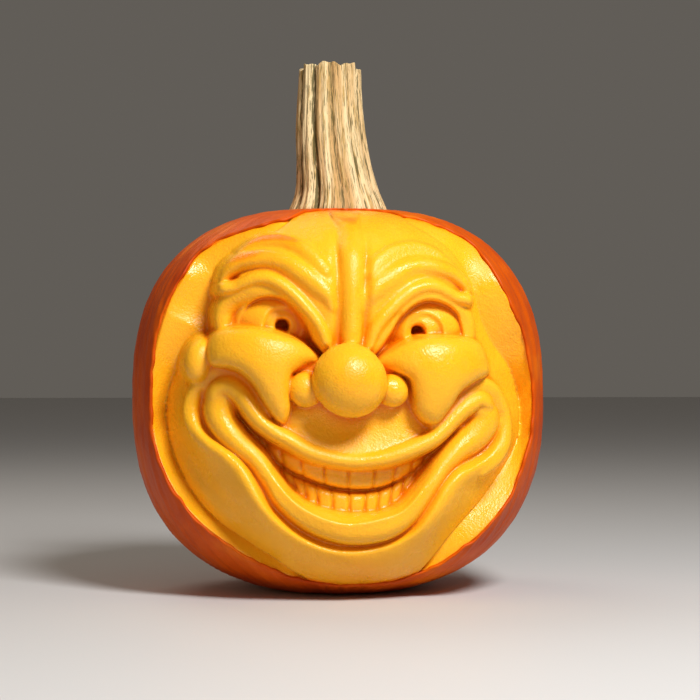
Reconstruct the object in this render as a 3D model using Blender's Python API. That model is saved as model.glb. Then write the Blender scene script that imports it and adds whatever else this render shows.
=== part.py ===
"""Carved pumpkin: a whole pumpkin with its stem, one side cut away and sculpted into a grinning face.

The pumpkin is one solid. Its axis is +Z through the stem, it stands on a small flat spot at z = 0, and the
face looks along -Y. Sizes in metres unless a line says millimetres.
"""

import math

import bmesh
import bpy
import numpy as np

MM = 0.001

# ---------------------------------------------------------------- the whole pumpkin's outer form

# The carving is laid out in millimetres: x across the face, z up, and "front", the distance ahead of the
# stem's axis. It becomes metres when the mesh is made.
RADIUS = 139.5          # of the widest ring
WAIST = 131.0           # height of the widest ring
CROWN = 130.0           # from the waist to the top
FOOT = 134.0            # from the waist to the round bottom, before it is cut flat
CROWN_POWER = 2.55      # how square the shoulders are
FOOT_POWER = 2.45
RIBS = 13
RIB_DEPTH = 0.011       # of the radius
DIMPLE_DEPTH = 4.5      # round the stem
DIMPLE_WIDTH = 40.0


def rib_scale(x, front, z):
    """How far the shallow lobes stand out from, or in from, the plain round form."""
    azimuth = np.arctan2(x, front)
    steepness = 1.0 + 1.5 * (np.abs(z - WAIST) / CROWN) ** 4
    return 1.0 + RIB_DEPTH * steepness * (np.abs(np.cos(azimuth * RIBS / 2 + 0.6)) - 0.65)


def body_radius(z):
    """Radius of the plain round form at a height."""
    half = np.where(z > WAIST, CROWN, FOOT)
    power = np.where(z > WAIST, CROWN_POWER, FOOT_POWER)
    return RADIUS * np.maximum(1.0 - np.abs((z - WAIST) / half) ** power, 1e-6) ** (1.0 / power)


def skin_front(x, z):
    """Distance of the uncut skin ahead of the axis."""
    radius = body_radius(z)
    plain = np.sqrt(np.maximum(radius ** 2 - x ** 2, 1.0))
    radius = radius * rib_scale(x, plain, z)
    return np.sqrt(np.maximum(radius ** 2 - x ** 2, 1.0))


# ---------------------------------------------------------------- curves and blends

def through(points, steps=6, closed=False):
    """A smooth curve through the points; further columns are smoothed along with x and z."""
    p = np.array(points, float)
    if closed:
        p = np.vstack([p[-1], p, p[0], p[1]])
    else:
        p = np.vstack([2 * p[0] - p[1], p, 2 * p[-1] - p[-2]])
    curve = []
    for a, b, c, d in zip(p[:-3], p[1:-2], p[2:-1], p[3:]):
        for s in np.linspace(0, 1, steps, endpoint=False):
            curve.append(0.5 * (2 * b + (c - a) * s + (2 * a - 5 * b + 4 * c - d) * s ** 2
                                + (3 * b - a - 3 * c + d) * s ** 3))
    if not closed:
        curve.append(p[-2])
    return np.array(curve)


def mirrored(points):
    """The same points on the other side of the face."""
    return [(-p[0],) + tuple(p[1:]) for p in points]


def within(x, z, outline):
    """Which points lie inside a closed outline."""
    inside = np.zeros(len(x), bool)
    before = outline[-1]
    for here in outline:
        if here[1] != before[1]:
            crossing = before[0] + (z - before[1]) * (here[0] - before[0]) / (here[1] - before[1])
            inside ^= ((here[1] > z) != (before[1] > z)) & (x < crossing)
        before = here
    return inside


def blend_max(a, b, soft):
    """The larger of two heights, rounded where they cross."""
    mix = np.clip(0.5 + 0.5 * (a - b) / soft, 0, 1)
    return b + (a - b) * mix + soft * mix * (1 - mix)


def round_fall(share):
    """How far a round form has fallen: 0 at its crest, 1 at its edge and beyond."""
    roundness = 0.95
    return (1 - np.sqrt(1 - roundness * np.minimum(share, 1) ** 2)) / (1 - math.sqrt(1 - roundness))


# ---------------------------------------------------------------- the carver's strokes

FACE_TILT = 0.045       # the face leans a little to one side
CUT_STEP = 0.6          # the least that is cut away inside the cut
STEEP = 6.0             # how fast a sharp side falls, in millimetres for each millimetre across


class Carving:
    """The front of the pumpkin as heights over points (x, z), changed stroke by stroke."""

    def __init__(self, x, z):
        self.x = x
        self.z = z + FACE_TILT * x
        self.skin = skin_front(x, z)
        self.front = self.skin.copy()

    def measure(self, curve, reach, closed=False):
        """Points near a curve, their distance from it, and its further columns at the nearest place."""
        low = curve[:, :2].min(0) - reach
        high = curve[:, :2].max(0) + reach
        box = (self.x > low[0]) & (self.x < high[0]) & (self.z > low[1]) & (self.z < high[1])
        near = np.nonzero(box)[0]
        x, z = self.x[near], self.z[near]
        best = np.full(len(near), np.inf)
        columns = np.zeros((len(near), curve.shape[1] - 2))
        ring = np.vstack([curve, curve[:1]]) if closed else curve
        for a, b in zip(ring[:-1], ring[1:]):
            run = b[:2] - a[:2]
            t = np.clip(((x - a[0]) * run[0] + (z - a[1]) * run[1]) / (run @ run + 1e-12), 0, 1)
            gap = (x - a[0] - t * run[0]) ** 2 + (z - a[1] - t * run[1]) ** 2
            nearer = gap < best
            best[nearer] = gap[nearer]
            columns[nearer] = a[2:] + t[nearer, None] * (b[2:] - a[2:])
        return near, np.sqrt(best), columns

    def roll(self, points, drop, soft=1.2):
        """A round roll along points (x, z, crest, half width), falling by drop to its edge, then steeply."""
        curve = through(points)
        near, gap, columns = self.measure(curve, curve[:, 3].max() + 8)
        shape = columns[:, 0] - drop * round_fall(gap / columns[:, 1])
        shape -= STEEP * np.maximum(gap - columns[:, 1], 0)
        self.front[near] = blend_max(self.front[near], shape, soft)

    def stroke(self, points, width, power=2):
        """A ridge, or a groove where heights are negative, along (x, z, height); a higher power is squarer."""
        near, gap, columns = self.measure(through(points), width * 3)
        self.front[near] += columns[:, 0] * np.exp(-(gap / width) ** power)

    def dome(self, x, z, crest, half_width, half_height, drop, soft=1.6, turn=0):
        """An oval mound."""
        cos, sin = math.cos(math.radians(turn)), math.sin(math.radians(turn))
        across = ((self.x - x) * cos + (self.z - z) * sin) / half_width
        up = ((self.z - z) * cos - (self.x - x) * sin) / half_height
        reach = np.hypot(across, up)
        near = reach < 2.5
        beyond = np.maximum(reach - 1, 0) * half_width
        shape = crest - drop * round_fall(reach) - STEEP * beyond
        self.front[near] = blend_max(self.front[near], shape[near], soft)

    def pillow(self, outline, surface, edge, reach, soft=1.4):
        """A swollen shape with a sharp outline, rounded over within reach of its edge."""
        curve = through(outline, closed=True)
        near, gap, _ = self.measure(curve, 6, closed=True)
        inside = within(self.x[near], self.z[near], curve)
        rim = 1 - np.sqrt(1 - np.clip(1 - gap / reach, 0, 1) ** 2)
        top = surface(self.x[near], self.z[near])
        shape = np.where(inside, top - edge * rim, top - edge - STEEP * gap)
        self.front[near] = blend_max(self.front[near], shape, soft)

    def hollow(self, outline, floor, slope, soft=1.5):
        """A sunken place with sloping walls, down to a floor."""
        curve = through(outline, closed=True)
        near, gap, _ = self.measure(curve, 1, closed=True)
        inside = within(self.x[near], self.z[near], curve)
        near, gap = near[inside], gap[inside]
        here = self.front[near]
        bottom = np.minimum(floor(self.x[near], self.z[near]), here)
        self.front[near] = blend_max(here - slope * gap, bottom, soft)

    def sink(self, x, z, radius, depth):
        """A round place set back with a crisp edge."""
        gap = np.hypot(self.x - x, self.z - z)
        self.front -= depth * np.clip(0.5 - (gap - radius) / 1.4, 0, 1)

    def ball(self, x, z, centre_front, radius):
        """The front half of a ball."""
        square = (self.x - x) ** 2 + (self.z - z) ** 2
        near = square < radius ** 2
        self.front[near] = np.maximum(self.front[near], centre_front + np.sqrt(radius ** 2 - square[near]))

    def teeth(self, outline, front, gaps):
        """A bowed row of teeth with fine gaps between them."""
        bow, round_over, gap_depth = 15.0, 2.0, 3.2
        curve = through(outline, closed=True)
        near, gap, _ = self.measure(curve, 3, closed=True)
        inside = within(self.x[near], self.z[near], curve)
        x, z = self.x[near], self.z[near]
        row = front - bow * (x / 50) ** 2 - round_over * np.clip(1 - gap / 3, 0, 1) ** 2
        for place in gaps:
            line = place * (1 + 0.5 * (z - 80) / 100)
            row -= gap_depth * np.exp(-(np.abs(x - line) / 0.85) ** 1.6)
        row = np.where(inside, row, row - 6 * gap)
        self.front[near] = blend_max(self.front[near], row, 0.8)


# ---------------------------------------------------------------- the face

# Where the rind ends: (x, z) round the cut.
CUT = [(0, 258), (-22, 256), (-38, 249.5), (-57, 244.5), (-76, 238), (-96, 226), (-105, 212), (-114, 197),
       (-120, 180), (-125, 158), (-127, 133), (-126, 110), (-121, 90), (-111, 69.5), (-97, 52.5), (-78, 37),
       (-54, 22.5), (-28, 12), (1, 8), (26, 9.5), (56, 18.5), (82, 35), (99, 51), (112, 67), (121, 86),
       (126.5, 108), (128, 131), (126, 150), (121.5, 170), (113.5, 188), (104, 206), (96, 222), (85, 235),
       (69, 243), (47, 250.5), (26, 257)]

# The groove round the head: x, z and how far it sinks below the head's own surface.
GROOVE_LEFT = [(-30, 262, 0), (-33, 250, 0), (-42, 240, 1), (-58, 231, 5), (-72, 219.5, 14), (-80, 207, 20),
               (-83, 196, 26), (-84.5, 182, 27), (-89, 167, 20), (-103, 153, 12), (-112, 138, 10),
               (-115.5, 122, 9), (-115.5, 109, 10), (-112.5, 94, 11), (-106.5, 79, 12), (-96.5, 62.5, 13),
               (-83, 48.5, 13), (-64, 36.5, 12), (-43.5, 24, 8), (-18, 7, 1), (-6, 0, 0)]
GROOVE_RIGHT = [(36, 264, 0), (43, 249, 0), (59, 239, 3), (72, 229, 7), (81, 214.5, 13), (86, 200, 16),
                (91, 185, 17), (99, 170, 15), (109, 158, 12), (116, 143, 11), (118.5, 127, 10),
                (118, 113, 10), (113, 101, 11), (104, 87, 12), (90, 68, 13), (71, 47, 12), (51, 20, 4),
                (44, 8, 0)]


def head_front(x, z):
    """The head blocked out: sunk most at nose height, with two eye sockets and a hollow under the nose."""
    plain = np.sqrt(np.maximum(body_radius(z - FACE_TILT * x) ** 2 - x ** 2, 1.0))
    front = plain - 7 - (30 - 9 * (x / 100) ** 2) * np.exp(-((z - 132) / 62) ** 2)
    for side in (-1, 1):
        front = front - 5 * np.exp(-((x - side * 45) / 32) ** 2 - ((z - 184) / 21) ** 2)
    return front - 5 * np.exp(-(x / 26) ** 2 - ((z - 112) / 16) ** 2)


def block_out(c):
    """The head, the groove round it, and the sloping band from the groove out to the rind."""
    wall = 9.0
    skin_melt = 6.0
    cut = [(x, z + FACE_TILT * x, float(skin_front(np.float64(x), np.float64(z)))) for x, z in CUT]
    _, to_rind, columns = c.measure(through(cut, closed=True), 400, closed=True)
    c.to_rind = to_rind
    rind_front = columns[:, 0]
    head = head_front(c.x, c.z)
    left, right = through(GROOVE_LEFT), through(GROOVE_RIGHT)
    on_head = within(c.x, c.z, np.vstack([left[:, :2], right[::-1, :2]]))
    for groove, side in ((left, c.x < 10), (right, c.x >= 10)):
        floor = head_front(groove[:, 0], groove[:, 1]) - groove[:, 2]
        _, gap, columns = c.measure(np.column_stack([groove, floor]), 400)
        inner = head - columns[:, 0] * np.exp(-(gap / wall) ** 1.15)
        across = gap / (gap + to_rind + 1e-6)
        band = columns[:, 1] * (1 - across) + rind_front * across
        c.front = np.where(side, np.where(on_head, inner, band), c.front)
    melt = np.exp(-to_rind / skin_melt)
    c.front = np.where(on_head, c.front * (1 - melt) + c.skin * melt, c.front)


def carve_jaw(c):
    c.stroke([(-103, 131, 4), (-104, 120, 9), (-100, 108, 12), (-91, 99, 11), (-80, 92, 9), (-71, 84, 7),
              (-65, 75, 7), (-58, 63, 7), (-47, 48, 5), (-32, 35, 2), (-10, 27, 0)], 8)
    c.stroke([(109, 131, 4), (109, 120, 9), (105, 107, 12), (95, 96, 10), (84, 89, 8), (74, 83, 7),
              (67, 73, 6), (60, 62, 6), (50, 49, 5), (38, 38, 2), (22, 29, 0)], 8)
    c.stroke([(-110, 118, -2), (-105, 98, -4), (-90, 74, -5), (-73, 55, -3), (-56, 41, 0)], 6)
    c.stroke([(-16, 27, 2), (8, 23, 5), (32, 27, 2)], 13)


def carve_mouth(c):
    c.hollow([(-74, 121), (-60, 119), (-50, 108), (-36, 99), (-18, 93), (2, 91), (22, 93), (40, 99), (53, 107),
              (64, 118), (76, 122), (70, 106), (59, 90), (50, 78), (36, 62), (18, 55), (0, 52), (-18, 56),
              (-34, 65), (-46, 79), (-56, 95), (-66, 108)],
             lambda x, z: 84 - 10 * (x / 50) ** 2, 5)
    c.teeth([(-50, 90), (-41, 84), (-33, 78.5), (-22, 74.3), (-9.7, 71), (2, 69.6), (13, 70), (24, 72.5),
             (33, 77), (42, 83.5), (51, 92), (54, 84), (42, 66), (22, 52), (0, 48), (-22, 52), (-42, 66)],
            94, [-40, -33.8, -27.1, -19.7, -9.5, 2.3, 13.4, 22.5, 31, 38.1, 45])
    c.teeth([(-58, 104), (-50, 94), (-39, 85.8), (-27.5, 81), (-14, 76.5), (2, 74.3), (18, 75), (31.5, 79.3),
             (42, 85.5), (53, 94), (60, 104), (52, 112), (30, 106), (0, 100), (-30, 106), (-50, 112)],
            97, [-47, -38.9, -27.7, -13.9, 1.4, 18.1, 31.3, 41.4, 49])


def carve_lips(c):
    left_ledge = [(-52, 122, 102, 6), (-57, 130, 100, 7), (-63, 138, 97, 7), (-70, 143, 94, 7),
                  (-78, 144.5, 90, 7), (-87, 141, 85, 6.5), (-93.5, 134, 81, 6.5), (-97, 126, 79, 6.5),
                  (-98, 118, 79.5, 7), (-95.5, 110, 82.5, 7.5), (-90, 103, 87, 8), (-82, 96.5, 92, 8)]
    right_ledge = [(58, 118, 102, 6), (66, 127, 99, 7), (75, 136, 95, 7), (85, 142, 90, 7),
                   (94, 139.5, 84, 6.5), (100.5, 132, 78.5, 6), (103.5, 123, 76, 6), (103.5, 114, 77, 6.5),
                   (101, 105, 80, 7), (95, 98, 84, 8), (86, 91.5, 88, 8)]
    for ledge in (left_ledge, right_ledge):
        c.roll(ledge, 3, 2)
    c.stroke([(-92.5, 130, -2), (-93, 118, -4), (-89, 108, -6), (-79, 101, -7), (-69, 94, -7),
              (-62, 86, -7), (-56, 76, -8), (-51, 66, -8), (-44, 57, -9), (-30, 46, -9), (-12, 38.5, -9),
              (6, 37.5, -9), (26, 42, -9), (40, 50, -8), (47, 58, -7), (54, 69, -6), (61, 81, -6),
              (72, 91, -5), (82, 95, -5), (92, 102, -5), (98, 112, -4), (99.5, 124, -2)], 3.2, 3)
    lower = [(-73, 133, 92, 8), (-78.5, 129, 93, 9), (-81, 120, 94, 9.8), (-78, 110, 96, 9.2),
             (-69, 99.5, 99, 8), (-58, 90, 102, 7), (-50.5, 79.5, 104, 6.6), (-39.5, 65, 106, 7),
             (-25, 54.5, 107.5, 8.2), (-8.5, 49, 108.5, 9.4), (7.5, 47.8, 108.5, 9.8), (24, 50.6, 108, 9),
             (37.5, 58, 106, 7.8), (47.5, 69, 104, 6.8), (56.5, 81.5, 102, 6), (63, 91, 99, 6.4),
             (73, 101.5, 95, 8), (84, 111, 91, 10), (90, 121, 89, 10.5), (87, 129, 90, 9), (80, 131, 93, 7)]
    upper = [(-85, 124, 91.5, 5), (-83.5, 130.5, 94, 5.5), (-80, 134.5, 96, 6), (-74.5, 135.5, 98.5, 6.5),
             (-69, 132.5, 101, 6.5), (-65, 128, 103.5, 6.2), (-60, 120.5, 105.5, 5.8), (-54, 113.5, 107, 5.4),
             (-45.5, 107.5, 108.5, 5.2), (-36, 102.8, 109.3, 5.4), (-21, 95.4, 110, 5.6),
             (2, 91.6, 110.5, 5.5), (22, 94, 110, 5.6), (35, 98.2, 109.3, 5.6), (46, 103, 108, 5.4),
             (54.5, 107.5, 106.5, 5.2), (62, 114, 104, 5.4), (68.5, 121, 101.5, 5.6), (75.5, 127.8, 99, 6),
             (81.5, 132, 96.5, 6.4), (87, 134, 94, 6.2), (91.5, 133, 91.5, 5.8), (94, 128, 89, 5.2)]
    c.roll(lower, 9)
    c.roll(upper, 6.5)


def carve_brows(c):
    puff = [(66, 220, 85, 5), (56, 227, 87, 5.5), (43, 229, 92, 6), (31, 226, 99, 6), (22, 220, 105, 6),
            (14.5, 212, 109.5, 5)]
    brow = [(79, 205, 86, 4), (75.5, 210, 89, 5), (68.5, 215, 93, 5.8), (60, 217.5, 97, 6.2),
            (50, 218.5, 100.5, 6.6), (39.5, 216.5, 104.5, 7.2), (29, 210.5, 109, 7.8), (19.5, 203.5, 112, 8),
            (12.5, 197, 113, 7), (9, 190, 112, 5.5)]
    fold = [(66, 206, 91, 3), (59, 209.2, 94, 3), (50, 210.8, 97.5, 3), (42, 209.5, 100, 3),
            (35.5, 204.5, 102, 3), (29, 198.8, 103.5, 3)]
    lid = [(78, 198.5, 93, 4.5), (71, 199.5, 95, 4.5), (65, 202.3, 98, 4.6), (58, 205.2, 101, 4.9),
           (50, 205.4, 104, 5), (41.5, 202, 107, 5), (33, 195.3, 109.5, 5), (26, 188, 111.5, 4.8),
           (20, 180.7, 112.5, 4.6), (16, 173.7, 113, 4.4), (13.5, 167, 113, 4.2)]
    under_lid = [(77, 168, 87, 5), (79, 176, 86.5, 5.5), (78, 184, 87, 6), (74, 190, 89.5, 6.3),
                 (68, 194.5, 93, 6.5), (60, 198, 97, 6.5), (51, 199, 100, 6.5), (43, 196, 102.5, 5.5),
                 (36, 190, 105, 4)]
    for side in (mirrored, list):
        c.roll(side(puff), 4, 3)
        c.roll(side(brow), 7, 2.5)
        c.roll(side(fold), 3, 1)
        c.roll(side(under_lid), 4, 3)
        c.roll(side(lid), 5.5)


def carve_eyes(c):
    left = [(-70, 168), (-69, 177), (-66.5, 183.5), (-62, 190), (-55.5, 194), (-46.5, 195.3), (-38.8, 193),
            (-32.2, 187.3), (-25.6, 178.6), (-21, 169), (-16, 156), (-45, 160)]
    right = [(77, 168), (76.5, 176.5), (75, 183), (72, 190.5), (64, 195.9), (53, 197.7), (43.2, 193.8),
             (34.3, 185.7), (28.8, 176.6), (22, 166), (16, 156), (50, 160)]
    for outline, middle, iris, pupil in ((left, -45, -41, -41), (right, 50, 51, 46.8)):
        c.hollow(outline, lambda x, z: 97 - 18 * (((x - middle) / 30) ** 2 + ((z - 178) / 26) ** 2), 8, 0.6)
        c.sink(iris, 176, 11.8, 3.2)
        c.sink(pupil, 176.4, 4.1, 20)


def carve_cheeks(c):
    left = [(-86, 150), (-88.5, 158), (-86, 166), (-79, 171.5), (-61, 173.5), (-45, 171), (-30.6, 166.5),
            (-20, 158), (-29, 151.5), (-36, 145.5), (-37.5, 134), (-36.5, 123.5), (-39.5, 114.5), (-45, 116),
            (-52, 126.5), (-59, 138.5), (-67, 146), (-76, 149)]
    right = [(92, 152), (91, 160), (86, 170), (76, 173), (62, 173.5), (45, 171.3), (31, 165), (21, 156.5),
             (31, 150.5), (40, 146), (42.5, 136), (44, 126), (50, 119), (58, 119), (65, 128), (73, 140),
             (83, 147)]
    for outline, middle in ((left, -50), (right, 52)):
        def swell(x, z):
            up = (z - 152) / np.where(z > 152, 38, 52)
            return 119 - 19 * (((x - middle) / 38) ** 2 + up ** 2)
        c.pillow(outline, swell, 5, 9)


# The nose and the ball on each side of it: x, z, the centre's front, radius, and depth of the undercut.
NOSE_BALLS = [(-26.5, 136, 104.5, 11.6, 6), (28.5, 138, 104.5, 11, 6), (1, 143.3, 114, 24, 14)]


def carve_nose(c):
    c.stroke([(-7, 240, 0), (-6.5, 228, -2), (-6, 212, -3.5), (-6, 190, -3.5), (-6.5, 168, -3)], 3)
    c.stroke([(13, 240, 0), (12.5, 228, -2), (12, 212, -3.5), (11.5, 190, -3.5), (11, 168, -3)], 3)
    c.roll([(1, 250, 78, 9), (3, 236, 94, 9), (3.3, 224, 106, 8.5), (3, 207, 112, 7.5), (2.7, 188, 113.5, 6.8),
            (2.5, 165, 114.5, 6.8), (1.8, 156, 115, 7)], 7, 2)
    c.dome(-94.5, 151, 90, 9.5, 14, 8, 1.2, turn=-12)
    c.dome(-31, 119, 101, 9, 8, 6, 4)
    for x, z, centre_front, radius, _ in NOSE_BALLS:
        c.ball(x, z, centre_front, radius)


def carve(x, z):
    """Heights of the whole carved front over points (x, z)."""
    c = Carving(x, z)
    block_out(c)
    carve_jaw(c)
    carve_mouth(c)
    carve_lips(c)
    carve_brows(c)
    carve_eyes(c)
    carve_cheeks(c)
    carve_nose(c)
    c.front = -blend_max(-c.front, CUT_STEP - c.skin, 2.0)
    return c


# ---------------------------------------------------------------- from heights to a closed mesh

FACE_CELLS = 130        # grid cells across the cut face
RELAX_ROUNDS = 160
SMOOTH_ROUNDS = 3
BACK_RINGS = 14
BACK_END = math.radians(174)
BODY_SHARE = 0.158       # of the dense mesh's triangles that the finished solid keeps


def outline_reach(angle):
    """Distance from the middle of the face to the cut, at each angle round it."""
    cut = through(CUT, steps=12, closed=True)
    angles = np.arctan2(cut[:, 1] - WAIST, cut[:, 0])
    order = np.argsort(angles)
    reach = np.hypot(cut[:, 0], cut[:, 1] - WAIST)
    return np.interp(angle, angles[order], reach[order], period=2 * math.pi)


def body_reach(angle):
    """Distance from the middle to the pumpkin's edge as seen from the front, at each angle."""
    height = np.linspace(WAIST - FOOT, WAIST + CROWN, 400)
    half_width = body_radius(height)
    angles = np.arctan2(height - WAIST, half_width)
    reach = np.hypot(half_width, height - WAIST)
    return np.interp(np.arctan2(np.sin(angle), np.abs(np.cos(angle))), angles, reach)


def height_lookup():
    """The carving sampled once on a fine sheet, for quick lookups while the mesh is spread over it."""
    step = 0.8
    across = np.arange(-RADIUS, RADIUS + step, step)
    up = np.arange(WAIST - FOOT, WAIST + CROWN + step, step)
    x, z = np.meshgrid(across, up)
    heights = carve(x.ravel(), z.ravel()).front.reshape(x.shape)

    def lookup(px, pz):
        i = np.clip((px - across[0]) / step, 0, len(across) - 1.001)
        j = np.clip((pz - up[0]) / step, 0, len(up) - 1.001)
        a, b = i.astype(int), j.astype(int)
        s, t = i - a, j - b
        return ((1 - t) * ((1 - s) * heights[b, a] + s * heights[b, a + 1])
                + t * ((1 - s) * heights[b + 1, a] + s * heights[b + 1, a + 1]))
    return lookup


def spread_over_face(u, v):
    """Place a square grid's points over the cut face, closer together where the carving is steep."""
    disc_u = u * np.sqrt(1 - v ** 2 / 2)
    disc_v = v * np.sqrt(1 - u ** 2 / 2)
    angle = np.arctan2(disc_v, disc_u)
    reach = outline_reach(angle) * np.hypot(disc_u, disc_v)
    place = np.stack([reach * np.cos(angle), WAIST + reach * np.sin(angle)])
    lookup = height_lookup()
    steepest = 5.0
    for _ in range(RELAX_ROUNDS):
        front = lookup(place[0], place[1])
        pulls = []
        for axis in (0, 1):
            run = np.hypot(*np.diff(place, axis=axis + 1)) + 1e-6
            pulls.append(np.minimum(np.hypot(1, np.diff(front, axis=axis) / run), steepest))
        up, down = pulls[0][1:, 1:-1], pulls[0][:-1, 1:-1]
        right, left = pulls[1][1:-1, 1:], pulls[1][1:-1, :-1]
        mean = ((up * place[:, 2:, 1:-1] + down * place[:, :-2, 1:-1]
                 + right * place[:, 1:-1, 2:] + left * place[:, 1:-1, :-2]) / (up + down + right + left))
        place[:, 1:-1, 1:-1] += 0.5 * (mean - place[:, 1:-1, 1:-1])
    return place


def undercut(points, x, z, front, radius, waist):
    """Draw the wall behind a ball in towards its axis, so that the ball hangs over what is behind it."""
    dx, dz = points[:, 0] - x, points[:, 2] + FACE_TILT * points[:, 0] - z
    out = np.hypot(dx, dz)
    depth = np.clip(front + points[:, 1], 0, waist)
    narrow = 1 - np.sqrt(1 - (depth / radius) ** 2)
    share = narrow * np.clip((radius * 1.35 - out) / (radius * 0.35), 0, 1)
    points[:, 0] -= dx * share
    points[:, 2] -= dz * share


def body_mesh():
    """The pumpkin without its stem: the carved face, and the sides drawn back from the cut ring by ring."""
    bm = bmesh.new()
    angle_layer = bm.verts.layers.float.new("angle")
    bmesh.ops.create_grid(bm, x_segments=FACE_CELLS, y_segments=FACE_CELLS, size=1)
    verts = sorted(bm.verts, key=lambda v: (round(v.co.y, 6), round(v.co.x, 6)))
    side = FACE_CELLS + 1
    u = np.array([v.co.x for v in verts]).reshape(side, side)
    v = np.array([v.co.y for v in verts]).reshape(side, side)
    place = spread_over_face(u, v).reshape(2, -1)
    front = carve(place[0], place[1]).front
    points = np.column_stack([place[0], -front, place[1]])
    for ball in NOSE_BALLS:
        undercut(points, *ball)
    for vert, point in zip(verts, points):
        vert.co = point
        vert[angle_layer] = math.atan2(point[2] - WAIST, point[0])
    inner = [v for v in verts if not v.is_boundary]
    for _ in range(SMOOTH_ROUNDS):
        bmesh.ops.smooth_vert(bm, verts=inner, factor=0.5, use_axis_x=True, use_axis_y=True, use_axis_z=True)
    loop = [e for e in bm.edges if e.is_boundary]
    for ring in range(1, BACK_RINGS + 1):
        grown = bmesh.ops.extrude_edge_only(bm, edges=loop)["geom"]
        loop = [e for e in grown if isinstance(e, bmesh.types.BMEdge)]
        fresh = [p for p in grown if isinstance(p, bmesh.types.BMVert)]
        angle = np.array([p[angle_layer] for p in fresh])
        edge = body_reach(angle)
        start = np.arcsin(np.clip(outline_reach(angle) / edge, 0, 1))
        turn = start + (BACK_END - start) * ring / BACK_RINGS
        x, z = edge * np.sin(turn) * np.cos(angle), WAIST + edge * np.sin(turn) * np.sin(angle)
        depth = np.sqrt(np.maximum(body_radius(z) ** 2 - x ** 2, 0.0)) * np.where(turn > math.pi / 2, -1, 1)
        scale = rib_scale(x, depth, z)
        for vert, point in zip(fresh, np.column_stack([x * scale, -depth * scale, z])):
            vert.co = point
    bmesh.ops.contextual_create(bm, geom=loop)
    for vert in bm.verts:
        out = math.hypot(vert.co.x, vert.co.y)
        on_top = min(max((vert.co.z - 200) / 40, 0), 1)
        vert.co.z -= DIMPLE_DEPTH * on_top * math.exp(-(out / DIMPLE_WIDTH) ** 2)
    bmesh.ops.scale(bm, vec=(MM, MM, MM), verts=bm.verts)
    bmesh.ops.triangulate(bm, faces=bm.faces)
    bmesh.ops.recalc_face_normals(bm, faces=bm.faces)
    return bm


# ---------------------------------------------------------------- the stem

# Height, half width and sideways lean, in millimetres, from inside the pumpkin to the cut top.
STEM_RINGS = [(238, 30, 0), (252, 33, 0), (258, 32.5, 0), (263, 30.5, 0), (270, 28, -0.5), (279, 26.2, -1.5),
              (291, 24.6, -3), (303, 23.6, -4.2), (315, 22.8, -5), (328, 21.8, -5.4), (341, 21, -5.5),
              (352, 20.6, -5.5), (357, 20.3, -5.5)]
STEM_SIDES = 72
STEM_RIDGES = 12


def stem_scale(angle, z):
    """Broad ridges with narrow grooves between them, twisting a little on the way up."""
    turn = angle * STEM_RIDGES / 2 + 0.5 * math.sin(2 * angle + 0.7) + 0.004 * (z - 258)
    depth = 0.15 + 0.06 * math.sin(3 * angle + 2.2)
    return 1.05 - depth * (1 - abs(math.sin(turn))) ** 1.7


def stem_mesh():
    bm = bmesh.new()
    angle_layer = bm.verts.layers.float.new("angle")
    loop = bmesh.ops.create_circle(bm, cap_ends=False, segments=STEM_SIDES, radius=1)["verts"]
    bottom = edges = list(bm.edges)
    for vert in loop:
        vert[angle_layer] = math.atan2(vert.co.y, vert.co.x)
    for number, (z, half_width, lean) in enumerate(STEM_RINGS):
        if number:
            grown = bmesh.ops.extrude_edge_only(bm, edges=edges)["geom"]
            edges = [e for e in grown if isinstance(e, bmesh.types.BMEdge)]
            loop = [v for v in grown if isinstance(v, bmesh.types.BMVert)]
        for vert in loop:
            angle = vert[angle_layer]
            reach = half_width * stem_scale(angle, z)
            vert.co = (lean + reach * math.cos(angle), reach * math.sin(angle), z)
    for vert in loop:
        angle = vert[angle_layer]
        vert.co.z += 1.6 * math.sin(angle * 3 + 0.8) - 2.0 * max(0, -math.cos(angle)) ** 4
    bmesh.ops.contextual_create(bm, geom=edges)
    bmesh.ops.contextual_create(bm, geom=bottom)
    bmesh.ops.scale(bm, vec=(MM, MM, MM), verts=bm.verts)
    bmesh.ops.triangulate(bm, faces=bm.faces)
    bmesh.ops.recalc_face_normals(bm, faces=bm.faces)
    return bm


# ---------------------------------------------------------------- objects

def colour(name, rgb, roughness):
    material = bpy.data.materials.new(name)
    material.use_nodes = True
    shader = material.node_tree.nodes["Principled BSDF"]
    shader.inputs["Base Color"].default_value = (*rgb, 1)
    shader.inputs["Roughness"].default_value = roughness
    shader.inputs["Metallic"].default_value = 0.0
    return material


def make_object(name, bm, material):
    mesh = bpy.data.meshes.new(name)
    bm.to_mesh(mesh)
    bm.free()
    mesh.materials.append(material)
    mesh.shade_smooth()
    thing = bpy.data.objects.new(name, mesh)
    bpy.context.scene.collection.objects.link(thing)
    return thing


def make_tool(name, bm, material):
    """A solid that only joins or cuts another one."""
    tool = make_object(name, bm, material)
    tool.hide_render = True
    tool.display_type = "WIRE"
    return tool


def combine(target, tool, operation):
    modifier = target.modifiers.new(tool.name, "BOOLEAN")
    modifier.operation = operation
    modifier.solver = "EXACT"
    modifier.object = tool


def ground_mesh():
    """A block whose top is the ground, wide enough to cut the pumpkin's foot flat."""
    depth = 20 * MM
    bm = bmesh.new()
    bmesh.ops.create_cube(bm, size=1)
    bmesh.ops.scale(bm, vec=(3 * RADIUS * MM, 3 * RADIUS * MM, depth), verts=bm.verts)
    bmesh.ops.translate(bm, vec=(0, 0, -depth / 2), verts=bm.verts)
    return bm


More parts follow.
